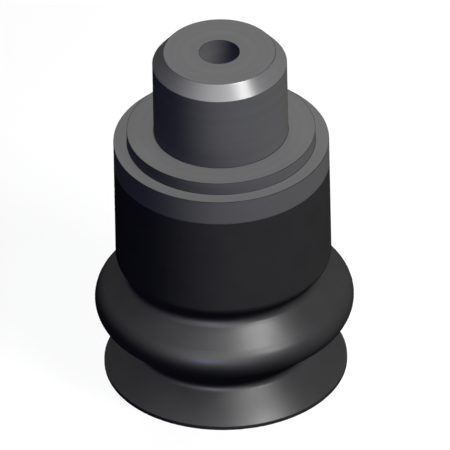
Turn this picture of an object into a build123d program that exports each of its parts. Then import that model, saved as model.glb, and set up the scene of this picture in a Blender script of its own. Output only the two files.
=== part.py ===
from build123d import *
import math
import os

# Bellows suction cup: a turned metal fitting pushed into a moulded rubber bellows.
# Sizes are in millimetres. The origin is the middle of the lip's bottom edge, and +Z
# runs up the axis to the spigot. Both pieces are turned about that axis, so each is
# drawn as half a section: distance from the axis, then height.

# Rubber, outside. A neck or fold is given where it is narrowest or widest.
LIP_DIAMETER = 18.0
LIP_EDGE_HEIGHT = 0.3
LIP_EDGE_WIDTH = 0.35
LOW_NECK_DIAMETER = 13.1
LOW_NECK_HEIGHT = 2.2
LOW_NECK_BEND = 0.5
FOLD_DIAMETER = 19.2
FOLD_HEIGHT = 5.9
FOLD_BEND = 1.5
HIGH_NECK_DIAMETER = 14.4
HIGH_NECK_HEIGHT = 8.7
HIGH_NECK_BEND = 0.65
SLEEVE_DIAMETER = 16.0
SLEEVE_BEND = 0.8
SLEEVE_BEND_HEIGHT = 10.2
RUBBER_HEIGHT = 18.0

# Rubber, inside. The mould's core is turned with plain corners, and it runs straight up
# behind the low neck, from the bottom height to the top height.
WALL = 1.1
SOCKET_MOUTH_HEIGHT = 8.6
LOW_NECK_INSIDE_TOP = 2.8
LOW_NECK_INSIDE_BOTTOM = 1.2

# Fitting, inside the rubber
STEM_DIAMETER = 8.0
STEM_LENGTH = 5.0
RIB_DIAMETER = 10.4
RIB_THICKNESS = 2.0
NOSE_DIAMETER = 8.4
NOSE_LENGTH = 1.2
GRIP_CLEARANCE = 0.02

# Fitting, above the rubber
FLANGE_THICKNESS = 2.0
STEP_DIAMETER = 14.0
STEP_THICKNESS = 1.0
SPIGOT_DIAMETER = 10.0
SPIGOT_LENGTH = 7.0
SPIGOT_CHAMFER_DEPTH = 0.83
SPIGOT_CHAMFER_HEIGHT = 1.0
BORE_DIAMETER = 3.0


def tangent_run(first, last):
    """Return the ends of the straight run that joins two corners without a kink.

    A corner is (distance from the axis, height, bend radius). The outline goes round its
    solid with the solid on its left. A radius is positive where the bend's middle lies in
    the solid, negative where it lies in a hollow, and 0 where the corner is sharp.
    """
    out = last[0] - first[0]
    up = last[1] - first[1]
    swing = math.asin((last[2] - first[2]) / math.hypot(out, up))
    heading = math.atan2(up, out) - swing
    left = Vector(-math.sin(heading), math.cos(heading))
    start = Vector(first[0], first[1]) - left * first[2]
    end = Vector(last[0], last[1]) - left * last[2]
    return start, end


def turned(corners):
    """Return the solid that a closed outline of bent and sharp corners sweeps about the axis."""
    followers = corners[1:] + corners[:1]
    runs = [Line(*tangent_run(*pair)) for pair in zip(corners, followers)]
    bends = []
    for corner, before, after in zip(corners, runs[-1:] + runs[:-1], runs):
        if corner[2]:
            bends.append(TangentArc(before @ 1, after @ 0, tangent=before % 1))
    section = make_face(runs + bends)
    return revolve(Plane.XZ * section, Axis.Z)


def fitting():
    """The metal piece: a spigot, step and flange above, a ribbed stem below, and a through bore."""
    bore = BORE_DIAMETER / 2
    stem = STEM_DIAMETER / 2
    rib = RIB_DIAMETER / 2
    flange = SLEEVE_DIAMETER / 2
    step = STEP_DIAMETER / 2
    spigot = SPIGOT_DIAMETER / 2
    rib_top = RUBBER_HEIGHT - STEM_LENGTH
    rib_bottom = rib_top - RIB_THICKNESS
    nose_end = rib_bottom - NOSE_LENGTH
    flange_top = RUBBER_HEIGHT + FLANGE_THICKNESS
    step_top = flange_top + STEP_THICKNESS
    spigot_top = step_top + SPIGOT_LENGTH
    return turned([
        (bore, nose_end, 0),
        (NOSE_DIAMETER / 2, nose_end, 0),
        (rib, rib_bottom, 0),
        (rib, rib_top, 0),
        (stem, rib_top, 0),
        (stem, RUBBER_HEIGHT, 0),
        (flange, RUBBER_HEIGHT, 0),
        (flange, flange_top, 0),
        (step, flange_top, 0),
        (step, step_top, 0),
        (spigot, step_top, 0),
        (spigot, spigot_top - SPIGOT_CHAMFER_HEIGHT, 0),
        (spigot - SPIGOT_CHAMFER_DEPTH, spigot_top, 0),
        (bore, spigot_top, 0),
    ])


def bellows():
    """The rubber piece: a sleeve on the stem, one hollow fold, and a thin flared lip."""
    lip = LIP_DIAMETER / 2
    low_neck_middle = LOW_NECK_DIAMETER / 2 + LOW_NECK_BEND
    fold_middle = FOLD_DIAMETER / 2 - FOLD_BEND
    high_neck_middle = HIGH_NECK_DIAMETER / 2 + HIGH_NECK_BEND
    sleeve = SLEEVE_DIAMETER / 2
    fold_inside = FOLD_DIAMETER / 2 - WALL
    low_neck_inside = LOW_NECK_DIAMETER / 2 - WALL
    collar = STEM_DIAMETER / 2 + GRIP_CLEARANCE
    collar_bottom = RUBBER_HEIGHT - STEM_LENGTH
    socket = RIB_DIAMETER / 2 + GRIP_CLEARANCE
    return turned([
        (lip, 0, 0),
        (lip, LIP_EDGE_HEIGHT, 0),
        (low_neck_middle, LOW_NECK_HEIGHT, -LOW_NECK_BEND),
        (fold_middle, FOLD_HEIGHT, FOLD_BEND),
        (high_neck_middle, HIGH_NECK_HEIGHT, -HIGH_NECK_BEND),
        (sleeve - SLEEVE_BEND, SLEEVE_BEND_HEIGHT, SLEEVE_BEND),
        (sleeve, RUBBER_HEIGHT, 0),
        (collar, RUBBER_HEIGHT, 0),
        (collar, collar_bottom, 0),
        (socket, collar_bottom, 0),
        (socket, SOCKET_MOUTH_HEIGHT, 0),
        (fold_inside, FOLD_HEIGHT, 0),
        (low_neck_inside, LOW_NECK_INSIDE_TOP, 0),
        (low_neck_inside, LOW_NECK_INSIDE_BOTTOM, 0),
        (lip - LIP_EDGE_WIDTH, 0, 0),
    ])


os.makedirs("parts", exist_ok=True)
export_step(fitting(), "parts/fitting.step")
export_step(bellows(), "parts/bellows.step")
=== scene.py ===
import math

import bpy
from mathutils import Matrix, Vector

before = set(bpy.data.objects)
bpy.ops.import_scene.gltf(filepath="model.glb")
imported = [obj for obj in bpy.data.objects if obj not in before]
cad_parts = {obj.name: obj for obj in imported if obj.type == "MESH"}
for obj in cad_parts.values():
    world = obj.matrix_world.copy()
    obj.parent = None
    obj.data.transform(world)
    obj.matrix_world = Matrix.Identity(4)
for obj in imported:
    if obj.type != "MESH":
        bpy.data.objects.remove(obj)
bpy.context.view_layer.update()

# Dresses the bellows suction cup: materials, floor, light and camera. The shapes are the
# CAD nodes' own. Sizes are in metres, and the cup's axis is +Z.

# Camera, looking along +Y and down. The picture's top leans a little to the left.
CAMERA_ELEVATION = math.radians(35.56)
CAMERA_ROLL = math.radians(1.2)
CAMERA_TARGET_HEIGHT = 0.01224
CAMERA_TARGET_RIGHT = 0.00015
CAMERA_DISTANCE = 0.25
CAMERA_NEAREST = 0.01
CAMERA_FARTHEST = 5
PICTURE_WIDTH = 0.03333

# Light, with angles in degrees. An azimuth is turned from the camera's side towards the
# right of the picture. A power of 1 lights a surface that faces the lamp so that its colour
# renders as written. The shadow key stands where the low key does, and only it casts a
# shadow there, which keeps the shadow faint. Ambient is the world's own light on the object.
WHITE = (1, 1, 1)
FILL_COLOUR = (0.4, 0.43, 1)
LAMPS = {
    "high_key": {"azimuth": 71, "elevation": 67, "half_angle": 11, "power": 0.89, "shadow": False},
    "low_key": {"azimuth": 50, "elevation": 41, "half_angle": 8, "power": 0.27, "shadow": False},
    "shadow_key": {"azimuth": 50, "elevation": 41, "half_angle": 10, "power": 0.18},
    "back": {"azimuth": 190, "elevation": 25, "half_angle": 15, "power": 0.22},
    "fill": {
        "azimuth": -18, "elevation": 10, "half_angle": 9, "power": 0.11, "shadow": False,
        "colour": FILL_COLOUR,
    },
}
LAMP_DISTANCE = 0.4
AMBIENT = 0.01

# Finishes. A pitch is how far apart a pattern's marks lie, and a swing is how far a value
# strays to either side. Most of a noise lies between its low and its high.
NOISE_LOW = 0.3
NOISE_HIGH = 0.7

# Metal. Rings are relief, bands are tone, and patches are gloss. What shows is the coloured
# oxide on the metal, so the surface isn't a metallic one.
METAL_COLOUR = (0.124, 0.124, 0.126)
METAL_COLOUR_SWING = 0.03
METAL_METALLIC = 0.0
METAL_ROUGHNESS = 0.33
METAL_ROUGHNESS_SWING = 0.03
METAL_GLOSS = 1.4
METAL_GLOSS_POWER = 12
METAL_IOR = 1.8
METAL_RING_PITCH = 0.00007
METAL_RING_DETAIL = 2
METAL_RING_DEPTH = 0.0000015
METAL_BAND_PITCH = 0.0006
METAL_BAND_DETAIL = 1
METAL_PATCH_PITCH = 0.003
METAL_PATCH_DETAIL = 3

# The metal's sharp edges are broken by a hair, and a fine line of painted shade is laid along them
# in the colour. The painted shade is full where the cosine between the rounded normal and the true
# one is less than 1 by the turn.
EDGE_WIDTH = 0.00008
EDGE_SAMPLES = 8
EDGE_TURN = 0.03
EDGE_PAINTED_SHADE = 0.85

# Rubber. Its grain is relief, and its bloom is tone and gloss.
RUBBER_COLOUR = (0.035, 0.035, 0.036)
RUBBER_ROUGHNESS = 0.35
RUBBER_ROUGHNESS_SWING = 0.03
RUBBER_GLOSS = 1.0
RUBBER_GLOSS_POWER = 13
RUBBER_GRAIN_PITCH = 0.00012
RUBBER_GRAIN_DETAIL = 2
RUBBER_GRAIN_DEPTH = 0.000002
RUBBER_BLOOM_PITCH = 0.002
RUBBER_BLOOM_DETAIL = 3
RUBBER_BLOOM_SWING = 0.06

# Floor. It lies a hair below the lip's flat edge, so that the two never share a plane, and
# is clear from below. Where it is seen, its glow and the lamps together make it white. To
# bounce light it is dark and doesn't glow, so that it hardly lights the cup.
FLOOR_SIZE = 2.0
FLOOR_DROP = 0.00001
FLOOR_GLOW = 0.36
FLOOR_SEEN_ALBEDO = 0.6
FLOOR_BOUNCE_ALBEDO = 0.05


def polar(azimuth, elevation):
    """Return the direction that an azimuth and an elevation point to."""
    flat = math.cos(elevation)
    return Vector((flat * math.sin(azimuth), -flat * math.cos(azimuth), math.sin(elevation)))


class Nodes:
    """The nodes of one material or world, emptied, with short ways to add and link them."""

    def __init__(self, owner):
        self.tree = owner.node_tree
        self.tree.nodes.clear()

    def add(self, kind, **attributes):
        """Add a node and set its attributes."""
        node = self.tree.nodes.new(kind)
        for name, value in attributes.items():
            setattr(node, name, value)
        return node

    def link(self, source, target):
        """Link an output socket to an input socket."""
        self.tree.links.new(source, target)

    def calculate(self, operation, first, second):
        """Return what a maths node makes of two terms, each an output socket or a number."""
        node = self.add("ShaderNodeMath", operation=operation)
        for term, target in zip((first, second), node.inputs):
            if isinstance(term, (int, float)):
                target.default_value = term
            else:
                self.link(term, target)
        return node.outputs[0]

    def map_range(self, value, source, result):
        """Carry a value from one pair of ends to another, and hold it between them."""
        node = self.add("ShaderNodeMapRange")
        node.inputs["From Min"].default_value, node.inputs["From Max"].default_value = source
        node.inputs["To Min"].default_value, node.inputs["To Max"].default_value = result
        self.link(value, node.inputs["Value"])
        return node.outputs["Result"]

    def finish(self, kind, surface):
        """Add the output node that shows a shader."""
        self.link(surface, self.add(kind).inputs["Surface"])


def new_material(name):
    """Return an empty material and its nodes."""
    material = bpy.data.materials.new(name)
    material.use_nodes = True
    return material, Nodes(material)


def around(nodes, noise, middle, swing):
    """Turn a noise into a value that strays from a middle by a swing at most."""
    return nodes.map_range(noise, (NOISE_LOW, NOISE_HIGH), (middle - swing, middle + swing))


def facing_gloss(nodes, shader, level, power):
    """Let the gloss fall away where the surface is seen edge on."""
    weight = nodes.add("ShaderNodeLayerWeight")
    front = nodes.calculate("SUBTRACT", 1, weight.outputs["Facing"])
    curve = nodes.calculate("POWER", front, power)
    nodes.link(nodes.calculate("MULTIPLY", curve, level), shader.inputs["Specular IOR Level"])


def ring_coordinate(nodes, place):
    """Return height less distance from the axis, along which a turned face carries its rings."""
    parts = nodes.add("ShaderNodeSeparateXYZ")
    nodes.link(place, parts.inputs[0])
    flat = nodes.add("ShaderNodeCombineXYZ")
    nodes.link(parts.outputs["X"], flat.inputs["X"])
    nodes.link(parts.outputs["Y"], flat.inputs["Y"])
    distance = nodes.add("ShaderNodeVectorMath", operation="LENGTH")
    nodes.link(flat.outputs[0], distance.inputs[0])
    return nodes.calculate("SUBTRACT", parts.outputs["Z"], distance.outputs["Value"])


def ring_noise(nodes, ring, pitch, detail):
    """Return a noise that changes only along the ring coordinate."""
    noise = nodes.add("ShaderNodeTexNoise", noise_dimensions="1D")
    noise.inputs["Scale"].default_value = 1 / pitch
    noise.inputs["Detail"].default_value = detail
    nodes.link(ring, noise.inputs["W"])
    return noise.outputs["Fac"]


def solid_noise(nodes, place, pitch, detail):
    """Return a noise that changes in every direction."""
    noise = nodes.add("ShaderNodeTexNoise")
    noise.inputs["Scale"].default_value = 1 / pitch
    noise.inputs["Detail"].default_value = detail
    nodes.link(place, noise.inputs["Vector"])
    return noise.outputs["Fac"]


def set_colour(nodes, shader, colour, tone):
    """Set the base colour to one colour times a tone that varies over the surface."""
    tint = nodes.add("ShaderNodeVectorMath", operation="SCALE")
    tint.inputs[0].default_value = colour
    nodes.link(tone, tint.inputs["Scale"])
    nodes.link(tint.outputs[0], shader.inputs["Base Color"])


def add_relief(nodes, shader, height, depth):
    """Give the surface a fine relief and return its bump node."""
    bump = nodes.add("ShaderNodeBump")
    bump.inputs["Distance"].default_value = depth
    nodes.link(height, bump.inputs["Height"])
    nodes.link(bump.outputs["Normal"], shader.inputs["Normal"])
    return bump


def broken_edges_with_painted_shade(nodes, tone):
    """Return a normal that rounds the sharp edges, and a tone with a line of painted shade along
    them.
    """
    rounded = nodes.add("ShaderNodeBevel", samples=EDGE_SAMPLES)
    rounded.inputs["Radius"].default_value = EDGE_WIDTH
    surface = nodes.add("ShaderNodeNewGeometry")
    likeness = nodes.add("ShaderNodeVectorMath", operation="DOT_PRODUCT")
    nodes.link(rounded.outputs["Normal"], likeness.inputs[0])
    nodes.link(surface.outputs["Normal"], likeness.inputs[1])
    # Painted shade: the tone is darkened along the sharp edges and in the inner corners.
    painted_edge_shade = nodes.map_range(likeness.outputs["Value"], (1 - EDGE_TURN, 1), (1 - EDGE_PAINTED_SHADE, 1))
    return rounded.outputs["Normal"], nodes.calculate("MULTIPLY", tone, painted_edge_shade)


def metal_material():
    """Dark anodised metal with fine tool rings round the axis."""
    material, nodes = new_material("turned_metal")
    shader = nodes.add("ShaderNodeBsdfPrincipled")
    shader.inputs["Metallic"].default_value = METAL_METALLIC
    shader.inputs["IOR"].default_value = METAL_IOR
    place = nodes.add("ShaderNodeTexCoord").outputs["Object"]
    ring = ring_coordinate(nodes, place)
    fine_rings = ring_noise(nodes, ring, METAL_RING_PITCH, METAL_RING_DETAIL)
    bands = ring_noise(nodes, ring, METAL_BAND_PITCH, METAL_BAND_DETAIL)
    patches = solid_noise(nodes, place, METAL_PATCH_PITCH, METAL_PATCH_DETAIL)
    # The tone is the bands' random tone times the painted shade along the sharp edges.
    rounded, tone = broken_edges_with_painted_shade(nodes, around(nodes, bands, 1, METAL_COLOUR_SWING))
    set_colour(nodes, shader, METAL_COLOUR, tone)
    roughness = around(nodes, patches, METAL_ROUGHNESS, METAL_ROUGHNESS_SWING)
    nodes.link(roughness, shader.inputs["Roughness"])
    facing_gloss(nodes, shader, METAL_GLOSS, METAL_GLOSS_POWER)
    relief = add_relief(nodes, shader, fine_rings, METAL_RING_DEPTH)
    nodes.link(rounded, relief.inputs["Normal"])
    nodes.finish("ShaderNodeOutputMaterial", shader.outputs["BSDF"])
    return material


def rubber_material():
    """Black moulded rubber with a fine grain and a faint uneven bloom."""
    material, nodes = new_material("moulded_rubber")
    shader = nodes.add("ShaderNodeBsdfPrincipled")
    place = nodes.add("ShaderNodeTexCoord").outputs["Object"]
    grain = solid_noise(nodes, place, RUBBER_GRAIN_PITCH, RUBBER_GRAIN_DETAIL)
    bloom = solid_noise(nodes, place, RUBBER_BLOOM_PITCH, RUBBER_BLOOM_DETAIL)
    set_colour(nodes, shader, RUBBER_COLOUR, around(nodes, bloom, 1, RUBBER_BLOOM_SWING))
    roughness = around(nodes, bloom, RUBBER_ROUGHNESS, RUBBER_ROUGHNESS_SWING)
    nodes.link(roughness, shader.inputs["Roughness"])
    facing_gloss(nodes, shader, RUBBER_GLOSS, RUBBER_GLOSS_POWER)
    add_relief(nodes, shader, grain, RUBBER_GRAIN_DEPTH)
    nodes.finish("ShaderNodeOutputMaterial", shader.outputs["BSDF"])
    return material


def seen_ray(nodes):
    """Return 1 for rays that show the background: from the camera, a reflection or glass."""
    path = nodes.add("ShaderNodeLightPath").outputs
    direct = nodes.calculate("MAXIMUM", path["Is Camera Ray"], path["Is Glossy Ray"])
    return nodes.calculate("MAXIMUM", direct, path["Is Transmission Ray"])


def seen_or_hidden(nodes, seen, seen_value, hidden_value):
    """Return one value for rays that show the background and another for bounce light."""
    return nodes.map_range(seen, (0, 1), (hidden_value, seen_value))


def floor_material():
    """White to the camera, dim to the object, shadowed by it, and clear from below."""
    material, nodes = new_material("pale_floor")
    seen = seen_ray(nodes)
    diffuse = nodes.add("ShaderNodeBsdfDiffuse")
    albedo = seen_or_hidden(nodes, seen, FLOOR_SEEN_ALBEDO, FLOOR_BOUNCE_ALBEDO)
    nodes.link(albedo, diffuse.inputs["Color"])
    emission = nodes.add("ShaderNodeEmission")
    nodes.link(seen_or_hidden(nodes, seen, FLOOR_GLOW, 0), emission.inputs["Strength"])
    both = nodes.add("ShaderNodeAddShader")
    nodes.link(diffuse.outputs[0], both.inputs[0])
    nodes.link(emission.outputs[0], both.inputs[1])
    side = nodes.add("ShaderNodeNewGeometry")
    clear = nodes.add("ShaderNodeBsdfTransparent")
    one_sided = nodes.add("ShaderNodeMixShader")
    nodes.link(side.outputs["Backfacing"], one_sided.inputs[0])
    nodes.link(both.outputs[0], one_sided.inputs[1])
    nodes.link(clear.outputs[0], one_sided.inputs[2])
    nodes.finish("ShaderNodeOutputMaterial", one_sided.outputs[0])
    return material


def add_floor():
    """A plain pale floor, wide enough to fill the picture."""
    bpy.ops.mesh.primitive_plane_add(size=FLOOR_SIZE, location=(0, 0, -FLOOR_DROP))
    floor = bpy.context.object
    floor.name = "floor"
    floor.data.materials.append(floor_material())


def add_world():
    """White where the background shows, and a dim even light on the object."""
    world = bpy.data.worlds.new("studio")
    world.use_nodes = True
    bpy.context.scene.world = world
    nodes = Nodes(world)
    background = nodes.add("ShaderNodeBackground")
    background.inputs["Color"].default_value = (*WHITE, 1)
    strength = seen_or_hidden(nodes, seen_ray(nodes), 1, AMBIENT)
    nodes.link(strength, background.inputs["Strength"])
    nodes.finish("ShaderNodeOutputWorld", background.outputs[0])


def add_lamp(name, azimuth, elevation, half_angle, power, colour=WHITE, shadow=True):
    """A round soft lamp that faces the cup. From there its radius spans the half angle."""
    direction = polar(math.radians(azimuth), math.radians(elevation))
    data = bpy.data.lights.new(name, "AREA")
    data.shape = "DISK"
    data.size = 2 * LAMP_DISTANCE * math.tan(math.radians(half_angle))
    data.energy = power * (math.pi * LAMP_DISTANCE) ** 2
    data.color = colour
    data.use_shadow = shadow
    lamp = bpy.data.objects.new(name, data)
    bpy.context.collection.objects.link(lamp)
    lamp.location = direction * LAMP_DISTANCE + Vector((0, 0, CAMERA_TARGET_HEIGHT))
    lamp.rotation_euler = direction.to_track_quat("Z", "Y").to_euler()


def add_camera():
    """A camera without perspective, at the photograph's angle."""
    out = polar(0, CAMERA_ELEVATION)
    right = Vector((1, 0, 0))
    up = out.cross(right)
    tilted_right = right * math.cos(CAMERA_ROLL) - up * math.sin(CAMERA_ROLL)
    tilted_up = up * math.cos(CAMERA_ROLL) + right * math.sin(CAMERA_ROLL)
    target = Vector((CAMERA_TARGET_RIGHT, 0, CAMERA_TARGET_HEIGHT))
    data = bpy.data.cameras.new("camera")
    data.type = "ORTHO"
    data.ortho_scale = PICTURE_WIDTH
    data.clip_start = CAMERA_NEAREST
    data.clip_end = CAMERA_FARTHEST
    camera = bpy.data.objects.new("camera", data)
    bpy.context.collection.objects.link(camera)
    turn = Matrix((tilted_right, tilted_up, out)).transposed().to_4x4()
    camera.matrix_world = Matrix.Translation(target + out * CAMERA_DISTANCE) @ turn
    bpy.context.scene.camera = camera


def dress(node, material):
    """Give a CAD node one finish."""
    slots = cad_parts[node].data.materials
    slots.clear()
    slots.append(material)


bpy.context.scene.view_settings.view_transform = "Standard"
dress("fitting", metal_material())
dress("bellows", rubber_material())
add_floor()
add_world()
for name, lamp in LAMPS.items():
    add_lamp(name, **lamp)
add_camera()
